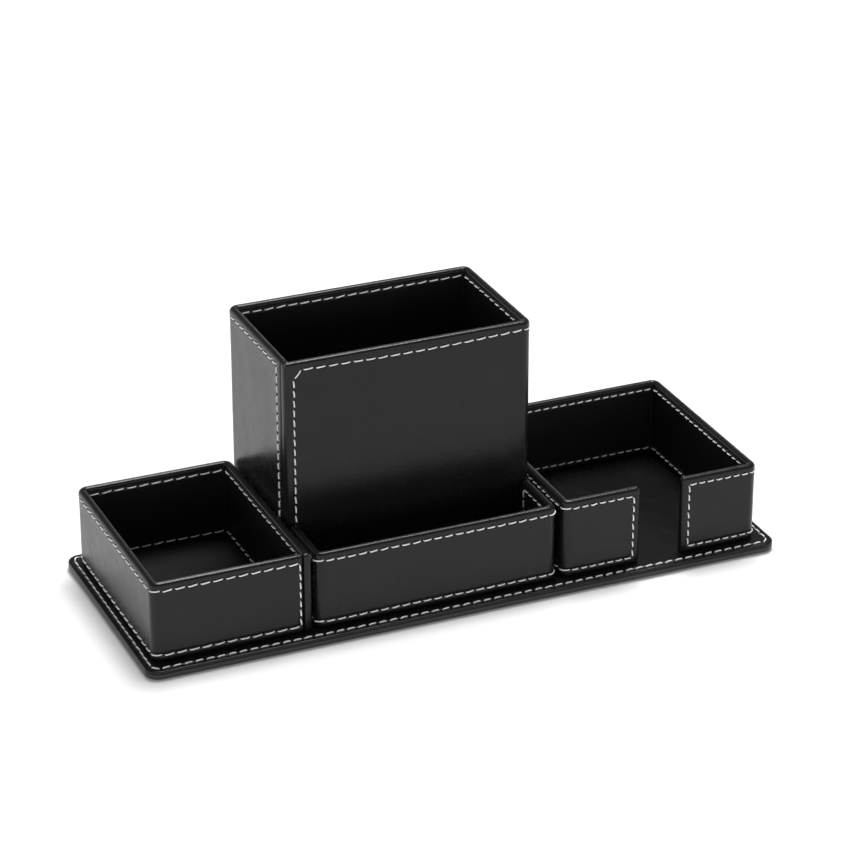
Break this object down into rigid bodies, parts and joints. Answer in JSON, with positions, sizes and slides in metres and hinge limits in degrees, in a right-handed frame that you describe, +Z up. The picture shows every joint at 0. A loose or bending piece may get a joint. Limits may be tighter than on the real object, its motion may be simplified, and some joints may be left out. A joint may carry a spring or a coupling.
{
  "type": "desk organiser",
  "caption": "Desk organiser in stitched black leatherette: a tall pen cup with a card holder in front, a clip tray and a slotted memo tray on one flat base.",
  "frame": {"origin": "centre of the base's underside, on the surface that the organiser stands on", "axes": "+X to the right along the row of boxes, +Y from the front to the back, +Z up"},
  "size_m": [0.286, 0.1098, 0.1113],
  "materials": {
    "leatherette": "smooth semi-gloss black leatherette",
    "lining": "satin black leatherette",
    "thread": "off-white waxed sewing thread",
    "board": "grey bookbinding board",
    "backing": "black flocked sheet"
  },
  "bodies": {
    "root": {"base_backing": "backing", "base_board": "board", "base_wrap": "leatherette", "base_top_panel": "leatherette", "base_stitching": "thread", "clip_tray_front_board": "board", "clip_tray_back_board": "board", "clip_tray_left_board": "board", "clip_tray_right_board": "board", "clip_tray_floor_board": "board", "clip_tray_floor_lining": "lining", "clip_tray_cover": "leatherette", "clip_tray_lining": "lining", "clip_tray_stitching": "thread", "pen_cup_front_board": "board", "pen_cup_back_board": "board", "pen_cup_left_board": "board", "pen_cup_right_board": "board", "pen_cup_floor_board": "board", "pen_cup_floor_lining": "lining", "pen_cup_cover": "leatherette", "pen_cup_lining": "lining", "pen_cup_stitching": "thread", "card_holder_front_board": "board", "card_holder_left_board": "board", "card_holder_right_board": "board", "card_holder_cover": "leatherette", "card_holder_lining": "lining", "card_holder_stitching": "thread", "memo_tray_back_board": "board", "memo_tray_left_board": "board", "memo_tray_right_board": "board", "memo_tray_front_left_board": "board", "memo_tray_front_right_board": "board", "memo_tray_cover": "leatherette", "memo_tray_lining": "lining", "memo_tray_stitching": "thread"}
  },
  "joints": []
}
